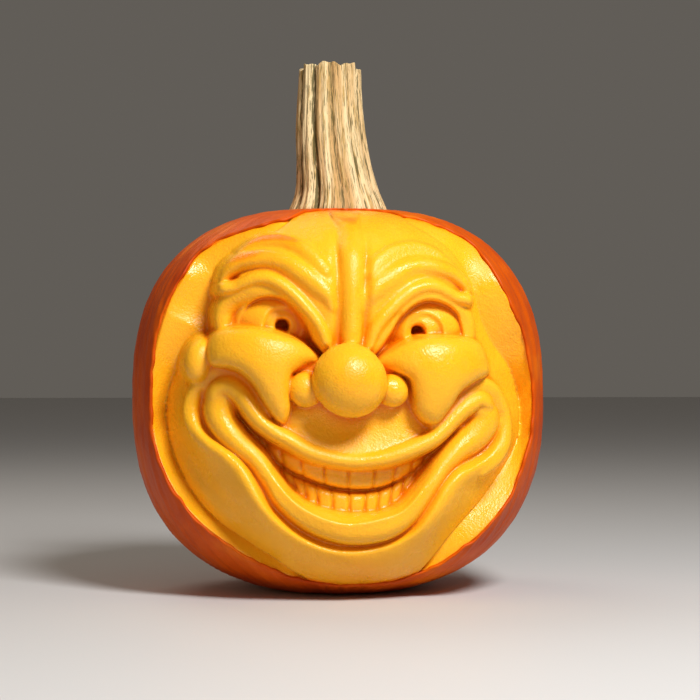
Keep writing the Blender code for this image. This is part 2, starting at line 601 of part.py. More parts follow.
def main():
    for old in list(bpy.data.objects):
        bpy.data.objects.remove(old)
    flesh = colour("flesh", (0.83, 0.50, 0.05), 0.35)
    woody = colour("stem", (0.45, 0.33, 0.16), 0.85)
    pumpkin = make_object("pumpkin", body_mesh(), flesh)
    thin = pumpkin.modifiers.new("thin", "DECIMATE")
    thin.ratio = BODY_SHARE
    combine(pumpkin, make_tool("stem_tool", stem_mesh(), woody), "UNION")
    combine(pumpkin, make_tool("ground_tool", ground_mesh(), flesh), "DIFFERENCE")


main()
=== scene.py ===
# %% [markdown]
# # A carved pumpkin
# A whole pumpkin stands on its own foot. One side of its rind is cut away, and the flesh behind it is
# sculpted into a grinning face with a ball for a nose. Three things are seen, and each is one closed mesh:
# the flesh with the carving, the rind that is left round the sides and back, and the dry ridged stem.
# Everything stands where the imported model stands, and is worked out from the same few driving sizes. The
# carving is made as heights over the face, stroke by stroke, much as a carver goes from big forms to small.

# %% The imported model
import math

import bmesh
import bpy
import numpy as np
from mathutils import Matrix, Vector


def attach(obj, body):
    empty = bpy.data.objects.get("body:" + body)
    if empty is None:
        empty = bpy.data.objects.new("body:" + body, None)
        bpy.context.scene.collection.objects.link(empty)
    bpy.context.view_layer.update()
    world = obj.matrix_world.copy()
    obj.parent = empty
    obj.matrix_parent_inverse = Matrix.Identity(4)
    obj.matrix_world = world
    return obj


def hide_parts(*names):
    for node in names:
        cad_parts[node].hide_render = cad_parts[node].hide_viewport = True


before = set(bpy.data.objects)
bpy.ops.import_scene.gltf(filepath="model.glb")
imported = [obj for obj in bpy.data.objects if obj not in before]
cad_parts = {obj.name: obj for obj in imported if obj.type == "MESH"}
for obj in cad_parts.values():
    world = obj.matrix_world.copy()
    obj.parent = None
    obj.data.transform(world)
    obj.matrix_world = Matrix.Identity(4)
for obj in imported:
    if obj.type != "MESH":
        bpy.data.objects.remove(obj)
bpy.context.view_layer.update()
MM = 0.001

# %% [markdown]
# ## The pumpkin's outer form
# A pumpkin is a flattened ball with square shoulders. One formula for its radius at each height serves every
# piece, so the rind, the flesh under it and the cut between them always agree. The lobes are a small change
# of the radius with the angle round the axis.

# %% The whole pumpkin's outer form

# The carving is laid out in millimetres: x across the face, z up, and "front", the distance ahead of the
# stem's axis. It becomes metres when the mesh is made.
RADIUS = 139.5          # of the widest ring
WAIST = 131.0           # height of the widest ring
CROWN = 130.0           # from the waist to the top
FOOT = 134.0            # from the waist to the round bottom, before it is cut flat
CROWN_POWER = 2.55      # how square the shoulders are
FOOT_POWER = 2.45
RIBS = 13
RIB_DEPTH = 0.011       # of the radius
DIMPLE_DEPTH = 4.5      # round the stem
DIMPLE_WIDTH = 40.0


def rib_scale(x, front, z):
    """How far the shallow lobes stand out from, or in from, the plain round form."""
    azimuth = np.arctan2(x, front)
    steepness = 1.0 + 1.5 * (np.abs(z - WAIST) / CROWN) ** 4
    return 1.0 + RIB_DEPTH * steepness * (np.abs(np.cos(azimuth * RIBS / 2 + 0.6)) - 0.65)


def body_radius(z):
    """Radius of the plain round form at a height."""
    half = np.where(z > WAIST, CROWN, FOOT)
    power = np.where(z > WAIST, CROWN_POWER, FOOT_POWER)
    return RADIUS * np.maximum(1.0 - np.abs((z - WAIST) / half) ** power, 1e-6) ** (1.0 / power)


def skin_front(x, z):
    """Distance of the uncut skin ahead of the axis."""
    radius = body_radius(z)
    plain = np.sqrt(np.maximum(radius ** 2 - x ** 2, 1.0))
    radius = radius * rib_scale(x, plain, z)
    return np.sqrt(np.maximum(radius ** 2 - x ** 2, 1.0))


print("outer form", 2 * RADIUS, "mm wide at a height of", WAIST, "mm")

# %% [markdown]
# ## Curves and blends
# A carver's stroke follows a curve. A few points, smoothed into a curve, are enough to say where it runs, and
# a soft maximum joins two forms with a small rounded crease, as a knife leaves it.

# %% Curves and blends

def through(points, steps=6, closed=False):
    """A smooth curve through the points; further columns are smoothed along with x and z."""
    p = np.array(points, float)
    if closed:
        p = np.vstack([p[-1], p, p[0], p[1]])
    else:
        p = np.vstack([2 * p[0] - p[1], p, 2 * p[-1] - p[-2]])
    curve = []
    for a, b, c, d in zip(p[:-3], p[1:-2], p[2:-1], p[3:]):
        for s in np.linspace(0, 1, steps, endpoint=False):
            curve.append(0.5 * (2 * b + (c - a) * s + (2 * a - 5 * b + 4 * c - d) * s ** 2
                                + (3 * b - a - 3 * c + d) * s ** 3))
    if not closed:
        curve.append(p[-2])
    return np.array(curve)


def mirrored(points):
    """The same points on the other side of the face."""
    return [(-p[0],) + tuple(p[1:]) for p in points]


def within(x, z, outline):
    """Which points lie inside a closed outline."""
    inside = np.zeros(len(x), bool)
    before = outline[-1]
    for here in outline:
        if here[1] != before[1]:
            crossing = before[0] + (z - before[1]) * (here[0] - before[0]) / (here[1] - before[1])
            inside ^= ((here[1] > z) != (before[1] > z)) & (x < crossing)
        before = here
    return inside


def blend_max(a, b, soft):
    """The larger of two heights, rounded where they cross."""
    mix = np.clip(0.5 + 0.5 * (a - b) / soft, 0, 1)
    return b + (a - b) * mix + soft * mix * (1 - mix)


def round_fall(share):
    """How far a round form has fallen: 0 at its crest, 1 at its edge and beyond."""
    roundness = 0.95
    return (1 - np.sqrt(1 - roundness * np.minimum(share, 1) ** 2)) / (1 - math.sqrt(1 - roundness))


# %% [markdown]
# ## The strokes
# The face is a relief, so its shape can be kept as one height for each point of the front. Each kind of
# stroke changes those heights: a roll adds a rounded ridge, a pillow a swollen form with a sharp outline, a
# hollow cuts down to a floor. This is far easier to shape than a mesh pushed about by hand, and it can be
# sampled as finely as needed.

# %% The carver's strokes

FACE_TILT = 0.045       # the face leans a little to one side
CUT_STEP = 0.6          # the least that is cut away inside the cut
CUT_SOFT = 2.0          # how softly a stroke that would stand higher is held down to it
STEEP = 6.0             # how fast a sharp side falls, in millimetres for each millimetre across


class Carving:
    """The front of the pumpkin as heights over points (x, z), changed stroke by stroke."""

    def __init__(self, x, z):
        self.x = x
        self.z = z + FACE_TILT * x
        self.skin = skin_front(x, z)
        self.front = self.skin.copy()

    def measure(self, curve, reach, closed=False):
        """Points near a curve, their distance from it, and its further columns at the nearest place."""
        low = curve[:, :2].min(0) - reach
        high = curve[:, :2].max(0) + reach
        box = (self.x > low[0]) & (self.x < high[0]) & (self.z > low[1]) & (self.z < high[1])
        near = np.nonzero(box)[0]
        x, z = self.x[near], self.z[near]
        best = np.full(len(near), np.inf)
        columns = np.zeros((len(near), curve.shape[1] - 2))
        ring = np.vstack([curve, curve[:1]]) if closed else curve
        for a, b in zip(ring[:-1], ring[1:]):
            run = b[:2] - a[:2]
            t = np.clip(((x - a[0]) * run[0] + (z - a[1]) * run[1]) / (run @ run + 1e-12), 0, 1)
            gap = (x - a[0] - t * run[0]) ** 2 + (z - a[1] - t * run[1]) ** 2
            nearer = gap < best
            best[nearer] = gap[nearer]
            columns[nearer] = a[2:] + t[nearer, None] * (b[2:] - a[2:])
        return near, np.sqrt(best), columns

    def roll(self, points, drop, soft=1.2):
        """A round roll along points (x, z, crest, half width), falling by drop to its edge, then steeply."""
        curve = through(points)
        near, gap, columns = self.measure(curve, curve[:, 3].max() + 8)
        shape = columns[:, 0] - drop * round_fall(gap / columns[:, 1])
        shape -= STEEP * np.maximum(gap - columns[:, 1], 0)
        self.front[near] = blend_max(self.front[near], shape, soft)

    def stroke(self, points, width, power=2):
        """A ridge along (x, z, height), or a groove where height is negative; more power makes it squarer."""
        near, gap, columns = self.measure(through(points), width * 3)
        self.front[near] += columns[:, 0] * np.exp(-(gap / width) ** power)

    def dome(self, x, z, crest, half_width, half_height, drop, soft, turn=0):
        """An oval mound."""
        cos, sin = math.cos(math.radians(turn)), math.sin(math.radians(turn))
        across = ((self.x - x) * cos + (self.z - z) * sin) / half_width
        up = ((self.z - z) * cos - (self.x - x) * sin) / half_height
        reach = np.hypot(across, up)
        near = reach < 2.5
        beyond = np.maximum(reach - 1, 0) * half_width
        shape = crest - drop * round_fall(reach) - STEEP * beyond
        self.front[near] = blend_max(self.front[near], shape[near], soft)

    def pillow(self, outline, surface, edge, reach):
        """A swollen shape with a sharp outline, rounded over within reach of its edge."""
        soft, skirt = 1.4, 6
        curve = through(outline, closed=True)
        near, gap, _ = self.measure(curve, skirt, closed=True)
        inside = within(self.x[near], self.z[near], curve)
        rim = 1 - np.sqrt(1 - np.clip(1 - gap / reach, 0, 1) ** 2)
        top = surface(self.x[near], self.z[near])
        shape = np.where(inside, top - edge * rim, top - edge - STEEP * gap)
        self.front[near] = blend_max(self.front[near], shape, soft)

    def hollow(self, outline, floor, slope, soft=1.5):
        """A sunken place with sloping walls, down to a floor."""
        curve = through(outline, closed=True)
        near, gap, _ = self.measure(curve, 1, closed=True)
        inside = within(self.x[near], self.z[near], curve)
        near, gap = near[inside], gap[inside]
        here = self.front[near]
        bottom = np.minimum(floor(self.x[near], self.z[near]), here)
        self.front[near] = blend_max(here - slope * gap, bottom, soft)

    def sink(self, x, z, radius, depth):
        """A round place set back with a crisp edge."""
        edge_width = 1.4
        gap = np.hypot(self.x - x, self.z - z)
        self.front -= depth * np.clip(0.5 - (gap - radius) / edge_width, 0, 1)

    def ball(self, x, z, centre_front, radius):
        """The front half of a ball."""
        square = (self.x - x) ** 2 + (self.z - z) ** 2
        near = square < radius ** 2
        self.front[near] = np.maximum(self.front[near], centre_front + np.sqrt(radius ** 2 - square[near]))

    def teeth(self, outline, front, gaps):
        """A bowed row of teeth with fine gaps between them."""
        bow, round_over, edge_width = 15.0, 2.0, 3
        gap_depth, gap_width, soft = 3.2, 0.85, 0.8
        curve = through(outline, closed=True)
        near, gap, _ = self.measure(curve, edge_width, closed=True)
        inside = within(self.x[near], self.z[near], curve)
        x, z = self.x[near], self.z[near]
        row = front - bow * (x / 50) ** 2 - round_over * np.clip(1 - gap / edge_width, 0, 1) ** 2
        for place in gaps:
            line = place * (1 + 0.5 * (z - 80) / 100)
            row -= gap_depth * np.exp(-(np.abs(x - line) / gap_width) ** 1.6)
        row = np.where(inside, row, row - STEEP * gap)
        self.front[near] = blend_max(self.front[near], row, soft)


# %% [markdown]
# ## The face
# The strokes run from big to small: the head and the groove round it, the jaw, the mouth, the lips, the brows
# and lids, the eyes, the cheeks, and last the nose. Two lines come first: where the rind ends, and where the
# groove round the head runs. A smooth curve through a few points gives each of them.

# %% The cut and the groove round the head

# Where the rind ends: (x, z) round the cut.
CUT = [(0, 258), (-22, 256), (-38, 249.5), (-57, 244.5), (-76, 238), (-96, 226), (-105, 212), (-114, 197),
       (-120, 180), (-125, 158), (-127, 133), (-126, 110), (-121, 90), (-111, 69.5), (-97, 52.5), (-78, 37),
       (-54, 22.5), (-28, 12), (1, 8), (26, 9.5), (56, 18.5), (82, 35), (99, 51), (112, 67), (121, 86),
       (126.5, 108), (128, 131), (126, 150), (121.5, 170), (113.5, 188), (104, 206), (96, 222), (85, 235),
       (69, 243), (47, 250.5), (26, 257)]

# The groove round the head: x, z and how far it sinks below the head's own surface.
GROOVE_LEFT = [(-30, 262, 0), (-33, 250, 0), (-42, 240, 1), (-58, 231, 5), (-72, 219.5, 14), (-80, 207, 20),
               (-83, 196, 26), (-84.5, 182, 27), (-89, 167, 20), (-103, 153, 12), (-112, 138, 10),
               (-115.5, 122, 9), (-115.5, 109, 10), (-112.5, 94, 11), (-106.5, 79, 12), (-96.5, 62.5, 13),
               (-83, 48.5, 13), (-64, 36.5, 12), (-43.5, 24, 8), (-18, 7, 1), (-6, 0, 0)]
GROOVE_RIGHT = [(36, 264, 0), (43, 249, 0), (59, 239, 3), (72, 229, 7), (81, 214.5, 13), (86, 200, 16),
                (91, 185, 17), (99, 170, 15), (109, 158, 12), (116, 143, 11), (118.5, 127, 10),
                (118, 113, 10), (113, 101, 11), (104, 87, 12), (90, 68, 13), (71, 47, 12), (51, 20, 4),
                (44, 8, 0)]


# %% [markdown]
# ## Blocking out
# A carver sinks the whole head below the skin first, so that the nose and lips still have flesh to stand in.
# The head is the pumpkin's own round form set back, with soft hollows at the eyes and under the nose. Outside
# the groove a band slopes from its floor up to the rind.

# %% Blocking out
def head_front(x, z):
    """The head blocked out: sunk most at nose height, with two eye sockets and a hollow under the nose."""
    plain = np.sqrt(np.maximum(body_radius(z - FACE_TILT * x) ** 2 - x ** 2, 1.0))
    sunk = (30 - 9 * (x / 100) ** 2) * np.exp(-((z - 132) / 62) ** 2)
    front = plain - 7 - sunk
    for side in (-1, 1):
        socket = 5 * np.exp(-((x - side * 45) / 32) ** 2 - ((z - 184) / 21) ** 2)
        front = front - socket
    under_nose = 5 * np.exp(-(x / 26) ** 2 - ((z - 112) / 16) ** 2)
    return front - under_nose


def block_out(c):
    """The head, the groove round it, and the sloping band from the groove out to the rind."""
    wall, skin_melt, everywhere = 9.0, 6.0, 400
    cut = [(x, z + FACE_TILT * x, float(skin_front(np.float64(x), np.float64(z)))) for x, z in CUT]
    _, to_rind, columns = c.measure(through(cut, closed=True), everywhere, closed=True)
    c.to_rind = to_rind
    rind_front = columns[:, 0]
    head = head_front(c.x, c.z)
    left, right = through(GROOVE_LEFT), through(GROOVE_RIGHT)
    on_head = within(c.x, c.z, np.vstack([left[:, :2], right[::-1, :2]]))
    for groove, side in ((left, c.x < 10), (right, c.x >= 10)):
        floor = head_front(groove[:, 0], groove[:, 1]) - groove[:, 2]
        _, gap, columns = c.measure(np.column_stack([groove, floor]), everywhere)
        inner = head - columns[:, 0] * np.exp(-(gap / wall) ** 1.15)
        across = gap / (gap + to_rind + 1e-6)
        band = columns[:, 1] * (1 - across) + rind_front * across
        c.front = np.where(side, np.where(on_head, inner, band), c.front)
    melt = np.exp(-to_rind / skin_melt)
    c.front = np.where(on_head, c.front * (1 - melt) + c.skin * melt, c.front)


# %% [markdown]
# ## Jaw
# The jaw is a low crest that runs down each side from the corner of the grin and fades out at the chin. Soft
# strokes suit it, because nothing on it is sharp.

# %% Jaw
def carve_jaw(c):
    c.stroke([(-103, 131, 4), (-104, 120, 9), (-100, 108, 12), (-91, 99, 11), (-80, 92, 9), (-71, 84, 7),
              (-65, 75, 7), (-58, 63, 7), (-47, 48, 5), (-32, 35, 2), (-10, 27, 0)], 8)
    c.stroke([(109, 131, 4), (109, 120, 9), (105, 107, 12), (95, 96, 10), (84, 89, 8), (74, 83, 7),
              (67, 73, 6), (60, 62, 6), (50, 49, 5), (38, 38, 2), (22, 29, 0)], 8)
    c.stroke([(-110, 118, -2), (-105, 98, -4), (-90, 74, -5), (-73, 55, -3), (-56, 41, 0)], 6)
    c.stroke([(-16, 27, 2), (8, 23, 5), (32, 27, 2)], 13)


# %% [markdown]
# ## Mouth and teeth
# The mouth is cut back first, and each row of teeth is then one bowed band with fine gaps cut across it. The
# upper row stands ahead of the lower one, so it hangs over it.

# %% Mouth and teeth
def carve_mouth(c):
    c.hollow([(-74, 121), (-60, 119), (-50, 108), (-36, 99), (-18, 93), (2, 91), (22, 93), (40, 99),
              (53, 107), (64, 118), (76, 122), (70, 106), (59, 90), (50, 78), (36, 62), (18, 55), (0, 52),
              (-18, 56), (-34, 65), (-46, 79), (-56, 95), (-66, 108)],
             lambda x, z: 84 - 10 * (x / 50) ** 2, 5)
    c.teeth([(-50, 90), (-41, 84), (-33, 78.5), (-22, 74.3), (-9.7, 71), (2, 69.6), (13, 70), (24, 72.5),
             (33, 77), (42, 83.5), (51, 92), (54, 84), (42, 66), (22, 52), (0, 48), (-22, 52), (-42, 66)],
            94, [-40, -33.8, -27.1, -19.7, -9.5, 2.3, 13.4, 22.5, 31, 38.1, 45])
    c.teeth([(-58, 104), (-50, 94), (-39, 85.8), (-27.5, 81), (-14, 76.5), (2, 74.3), (18, 75), (31.5, 79.3),
             (42, 85.5), (53, 94), (60, 104), (52, 112), (30, 106), (0, 100), (-30, 106), (-50, 112)],
            97, [-47, -38.9, -27.7, -13.9, 1.4, 18.1, 31.3, 41.4, 49])


# %% [markdown]
# ## Lips
# The lips are two long rolls that curl up at both ends. A ledge of cheek flesh wraps round each curl, and a
# narrow groove parts the lower lip from the jaw. The lips come last, so they lie over the ledges.

# %% Lips
def carve_lips(c):
    left_ledge = [(-52, 122, 102, 6), (-57, 130, 100, 7), (-63, 138, 97, 7), (-70, 143, 94, 7),
                  (-78, 144.5, 90, 7), (-87, 141, 85, 6.5), (-93.5, 134, 81, 6.5), (-97, 126, 79, 6.5),
                  (-98, 118, 79.5, 7), (-95.5, 110, 82.5, 7.5), (-90, 103, 87, 8), (-82, 96.5, 92, 8)]
    right_ledge = [(58, 118, 102, 6), (66, 127, 99, 7), (75, 136, 95, 7), (85, 142, 90, 7),
                   (94, 139.5, 84, 6.5), (100.5, 132, 78.5, 6), (103.5, 123, 76, 6), (103.5, 114, 77, 6.5),
                   (101, 105, 80, 7), (95, 98, 84, 8), (86, 91.5, 88, 8)]
    for ledge in (left_ledge, right_ledge):
        c.roll(ledge, 3, 2)
    c.stroke([(-92.5, 130, -2), (-93, 118, -4), (-89, 108, -6), (-79, 101, -7), (-69, 94, -7),
              (-62, 86, -7), (-56, 76, -8), (-51, 66, -8), (-44, 57, -9), (-30, 46, -9), (-12, 38.5, -9),
              (6, 37.5, -9), (26, 42, -9), (40, 50, -8), (47, 58, -7), (54, 69, -6), (61, 81, -6),
              (72, 91, -5), (82, 95, -5), (92, 102, -5), (98, 112, -4), (99.5, 124, -2)], 3.2, 3)
    lower = [(-73, 133, 92, 8), (-78.5, 129, 93, 9), (-81, 120, 94, 9.8), (-78, 110, 96, 9.2),
             (-69, 99.5, 99, 8), (-58, 90, 102, 7), (-50.5, 79.5, 104, 6.6), (-39.5, 65, 106, 7),
             (-25, 54.5, 107.5, 8.2), (-8.5, 49, 108.5, 9.4), (7.5, 47.8, 108.5, 9.8), (24, 50.6, 108, 9),
             (37.5, 58, 106, 7.8), (47.5, 69, 104, 6.8), (56.5, 81.5, 102, 6), (63, 91, 99, 6.4),
             (73, 101.5, 95, 8), (84, 111, 91, 10), (90, 121, 89, 10.5), (87, 129, 90, 9), (80, 131, 93, 7)]
    upper = [(-85, 124, 91.5, 5), (-83.5, 130.5, 94, 5.5), (-80, 134.5, 96, 6), (-74.5, 135.5, 98.5, 6.5),
             (-69, 132.5, 101, 6.5), (-65, 128, 103.5, 6.2), (-60, 120.5, 105.5, 5.8), (-54, 113.5, 107, 5.4),
             (-45.5, 107.5, 108.5, 5.2), (-36, 102.8, 109.3, 5.4), (-21, 95.4, 110, 5.6),
             (2, 91.6, 110.5, 5.5), (22, 94, 110, 5.6), (35, 98.2, 109.3, 5.6), (46, 103, 108, 5.4),
             (54.5, 107.5, 106.5, 5.2), (62, 114, 104, 5.4), (68.5, 121, 101.5, 5.6), (75.5, 127.8, 99, 6),
             (81.5, 132, 96.5, 6.4), (87, 133.5, 94, 6.4), (90.5, 131, 91.5, 6), (90.5, 127, 88.5, 5.5)]
    c.roll(lower, 9)
    c.roll(upper, 6.5)


# %% [markdown]
# ## Brows and lids
# The brows, the folds under them and the lids are rolls too. One side is laid out and then mirrored, and the
# slight lean of the whole face keeps the two sides from looking stamped.

# %% Brows and lids
def carve_brows(c):
    puff = [(66, 220, 85, 5), (56, 227, 87, 5.5), (43, 229, 92, 6), (31, 226, 99, 6), (22, 220, 105, 6),
            (14.5, 212, 109.5, 5)]
    brow = [(79, 205, 86, 4), (75.5, 210, 89, 5), (68.5, 215, 93, 5.8), (60, 217.5, 97, 6.2),
            (50, 218.5, 100.5, 6.6), (39.5, 216.5, 104.5, 7.2), (29, 210.5, 109, 7.8), (19.5, 203.5, 112, 8),
            (12.5, 197, 113, 7), (9, 190, 112, 5.5)]
    fold = [(66, 206, 91, 3), (59, 209.2, 94, 3), (50, 210.8, 97.5, 3), (42, 209.5, 100, 3),
            (35.5, 204.5, 102, 3), (29, 198.8, 103.5, 3)]
    lid = [(78, 198.5, 93, 4.5), (71, 199.5, 95, 4.5), (65, 202.3, 98, 4.6), (58, 205.2, 101, 4.9),
           (50, 205.4, 104, 5), (41.5, 202, 107, 5), (33, 195.3, 109.5, 5), (26, 188, 111.5, 4.8),
           (20, 180.7, 112.5, 4.6), (16, 173.7, 113, 4.4), (13.5, 167, 113, 4.2)]
    under_lid = [(77, 168, 87, 5), (79, 176, 86.5, 5.5), (78, 184, 87, 6), (74, 190, 89.5, 6.3),
                 (68, 194.5, 93, 6.5), (60, 198, 97, 6.5), (51, 199, 100, 6.5), (43, 196, 102.5, 5.5),
                 (36, 190, 105, 4)]
    for side in (mirrored, list):
        c.roll(side(puff), 4, 3)
        c.roll(side(brow), 7, 2.5)
        c.roll(side(fold), 3, 1)
        c.roll(side(under_lid), 4, 3)
        c.roll(side(lid), 5.5)


# %% [markdown]
# ## Eyes
# Each eye is a hollow whose floor bulges like an eyeball. The iris is a disc set back a little, and the pupil
# is a deep round pit, so it looks dark without any paint.

# %% Eyes
def carve_eyes(c):
    left = [(-70, 168), (-69, 177), (-66.5, 183.5), (-62, 190), (-55.5, 194), (-46.5, 195.3), (-38.8, 193),
            (-32.2, 187.3), (-25.6, 178.6), (-21, 169), (-16, 156), (-45, 160)]
    right = [(77, 168), (76.5, 176.5), (75, 183), (72, 190.5), (64, 195.9), (53, 197.7), (43.2, 193.8),
             (34.3, 185.7), (28.8, 176.6), (22, 166), (16, 156), (50, 160)]
    for outline, middle, iris, pupil in ((left, -45, -41, -41), (right, 50, 51, 46.8)):
        c.hollow(outline, lambda x, z: 97 - 18 * (((x - middle) / 30) ** 2 + ((z - 178) / 26) ** 2), 8, 0.6)
        c.sink(iris, 176, 11.8, 3.2)
        c.sink(pupil, 176.4, 4.1, 20)


# %% [markdown]
# ## Cheeks
# The cheeks are swollen and end in a sharp outline all round, which a pillow stroke gives in one go.

# %% Cheeks
def carve_cheeks(c):
    left = [(-86, 150), (-88.5, 158), (-86, 166), (-79, 171.5), (-61, 173.5), (-45, 171), (-30.6, 166.5),
            (-20, 158), (-29, 151.5), (-36, 145.5), (-37.5, 134), (-36.5, 123.5), (-39.5, 114.5), (-45, 116),
            (-52, 126.5), (-59, 138.5), (-67, 146), (-76, 149)]
    right = [(92, 152), (91, 160), (86, 170), (76, 173), (62, 173.5), (45, 171.3), (31, 165), (21, 156.5),
             (31, 150.5), (40, 146), (42.5, 136), (44, 126), (50, 119), (58, 119), (65, 128), (73, 140),
             (83, 147)]
    for outline, middle in ((left, -50), (right, 52)):
        def swell(x, z):
            up = (z - 152) / np.where(z > 152, 38, 52)
            return 119 - 19 * (((x - middle) / 38) ** 2 + up ** 2)
        c.pillow(outline, swell, 5, 9)


# %% [markdown]
# ## Nose
# The nose is a ball with a smaller ball on each side, below a ridge that comes down from the forehead. They
# are half balls here. When the mesh is made, their backs are undercut so that they hang over the face.

# %% Nose
# The nose and the ball on each side of it: x, z, the centre's front, radius, and depth of the undercut.
NOSE_BALLS = [(-26.5, 136, 104.5, 11.6, 6), (28.5, 138, 104.5, 11, 6), (1, 143.3, 114, 24, 14)]


def carve_nose(c):
    c.stroke([(-7, 240, 0), (-6.5, 228, -2), (-6, 212, -3.5), (-6, 190, -3.5), (-6.5, 168, -3)], 3)
    c.stroke([(13, 240, 0), (12.5, 228, -2), (12, 212, -3.5), (11.5, 190, -3.5), (11, 168, -3)], 3)
    c.roll([(1, 250, 78, 9), (3, 236, 94, 9), (3.3, 224, 106, 8.5), (3, 207, 112, 7.5),
            (2.7, 188, 113.5, 6.8), (2.5, 165, 114.5, 6.8), (1.8, 156, 115, 7)], 7, 2)
    c.dome(-94.5, 151, 90, 9.5, 14, 8, 1.2, turn=-12)
    c.dome(-31, 119, 101, 9, 8, 6, 4)
    for x, z, centre_front, radius, _ in NOSE_BALLS:
        c.ball(x, z, centre_front, radius)


# %% All strokes in order
def carve(x, z):
    """Heights of the whole carved front over points (x, z)."""
    c = Carving(x, z)
    block_out(c)
    carve_jaw(c)
    carve_mouth(c)
    carve_lips(c)
    carve_brows(c)
    carve_eyes(c)
    carve_cheeks(c)
    carve_nose(c)
    c.front = -blend_max(-c.front, CUT_STEP - c.skin, CUT_SOFT)
    return c


tip = carve(np.array([NOSE_BALLS[-1][0]], float), np.array([NOSE_BALLS[-1][1]], float))
print("nose stands", round(float(tip.front[0]), 1), "mm ahead of the stem's axis")

# %% [markdown]
# ## A sheet of points over the face
# The flesh's front starts as one square grid. Its points are spread over the cut opening, and then each one
# is pulled towards its neighbours by springs that are stiffer where the carving is steep. That draws more
# points onto the walls of the grooves, so no wall is left with a few long thin faces.

# %% The opening's outline and the pumpkin's own edge
# Waves round the edge of the cut: how many, how high, and the angle each starts from.
NICKS = [(5, 0.35, 1.0), (11, 0.3, 2.3), (23, 0.25, 0.4), (41, 0.2, 4.0), (67, 0.14, 1.9)]


def ragged(angle):
    """The knife's small slips along the edge of the cut, in millimetres."""
    return sum(size * np.sin(count * angle + phase) for count, size, phase in NICKS)


def outline_reach(angle):
    """Distance from the middle of the face to the cut, at each angle round it."""
    cut = through(CUT, steps=12, closed=True)
    angles = np.arctan2(cut[:, 1] - WAIST, cut[:, 0])
    order = np.argsort(angles)
    reach = np.hypot(cut[:, 0], cut[:, 1] - WAIST)
    return np.interp(angle, angles[order], reach[order], period=2 * math.pi) + ragged(angle)


def body_reach(angle):
    """Distance from the middle to the pumpkin's edge as seen from the front, at each angle."""
    height = np.linspace(WAIST - FOOT, WAIST + CROWN, 400)
    half_width = body_radius(height)
    angles = np.arctan2(height - WAIST, half_width)
    reach = np.hypot(half_width, height - WAIST)
    return np.interp(np.arctan2(np.sin(angle), np.abs(np.cos(angle))), angles, reach)


def turn_at_cut(angle):
    """How far the cut lies round the side at each angle: 0 is the front, a quarter turn the widest edge."""
    return np.arcsin(np.clip(outline_reach(angle) / body_reach(angle), 0, 1))


def side_points(angle, turn):
    """Points of the uncut skin at an angle round the face, turned so far from the front to the back."""
    edge = body_reach(angle)
    x, z = edge * np.sin(turn) * np.cos(angle), WAIST + edge * np.sin(turn) * np.sin(angle)
    depth = np.sqrt(np.maximum(body_radius(z) ** 2 - x ** 2, 0.0)) * np.where(turn > math.pi / 2, -1, 1)
    scale = rib_scale(x, depth, z)
    return np.column_stack([x * scale, -depth * scale, z])


def drawn_in(points, distance):
    """The points moved so many millimetres towards the pumpkin's middle."""
    inward = np.array([0, 0, WAIST]) - points
    inward /= np.linalg.norm(inward, axis=1)[:, None]
    return points + inward * np.reshape(distance, (-1, 1))


def settle(points):
    """The dip round the stem, the flat foot, and millimetres to metres."""
    out = np.hypot(points[:, 0], points[:, 1])
    on_top = np.clip((points[:, 2] - 200) / 40, 0, 1)
    points[:, 2] -= DIMPLE_DEPTH * on_top * np.exp(-(out / DIMPLE_WIDTH) ** 2)
    points[:, 2] = np.maximum(points[:, 2], 0)
    return points * MM


print("edge of the cut ragged by up to", round(sum(size for _, size, _ in NICKS), 2), "mm")

# %% Spreading a square grid over the face
LOOKUP_STEP = 0.6


def height_lookup():
    across = np.arange(-RADIUS, RADIUS + LOOKUP_STEP, LOOKUP_STEP)
    up = np.arange(WAIST - FOOT, WAIST + CROWN + LOOKUP_STEP, LOOKUP_STEP)
    x, z = np.meshgrid(across, up)
    heights = carve(x.ravel(), z.ravel()).front.reshape(x.shape)

    def lookup(px, pz):
        i = np.clip((px - across[0]) / LOOKUP_STEP, 0, len(across) - 1.001)
        j = np.clip((pz - up[0]) / LOOKUP_STEP, 0, len(up) - 1.001)
        a, b = i.astype(int), j.astype(int)
        s, t = i - a, j - b
        return ((1 - t) * ((1 - s) * heights[b, a] + s * heights[b, a + 1])
                + t * ((1 - s) * heights[b + 1, a] + s * heights[b + 1, a + 1]))
    return lookup


def square_to_disc(u, v):
    """Angle and distance on a round disc for each point of a square from -1 to 1."""
    disc_u = u * np.sqrt(1 - v ** 2 / 2)
    disc_v = v * np.sqrt(1 - u ** 2 / 2)
    return np.arctan2(disc_v, disc_u), np.minimum(np.hypot(disc_u, disc_v), 1)


def spread_over_face(u, v, rounds):
    """Place a square grid's points over the cut face, closer together where the carving is steep."""
    steepest = 5.0
    angle, share = square_to_disc(u, v)
    reach = outline_reach(angle) * share
    place = np.stack([reach * np.cos(angle), WAIST + reach * np.sin(angle)])
    lookup = height_lookup()
    for _ in range(rounds):
        front = lookup(place[0], place[1])
        pulls = []
        for axis in (0, 1):
            run = np.hypot(*np.diff(place, axis=axis + 1)) + 1e-6
            pulls.append(np.minimum(np.hypot(1, np.diff(front, axis=axis) / run), steepest))
        up, down = pulls[0][1:, 1:-1], pulls[0][:-1, 1:-1]
        right, left = pulls[1][1:-1, 1:], pulls[1][1:-1, :-1]
        mean = ((up * place[:, 2:, 1:-1] + down * place[:, :-2, 1:-1]
                 + right * place[:, 1:-1, 2:] + left * place[:, 1:-1, :-2]) / (up + down + right + left))
        place[:, 1:-1, 1:-1] += 0.5 * (mean - place[:, 1:-1, 1:-1])
    return place


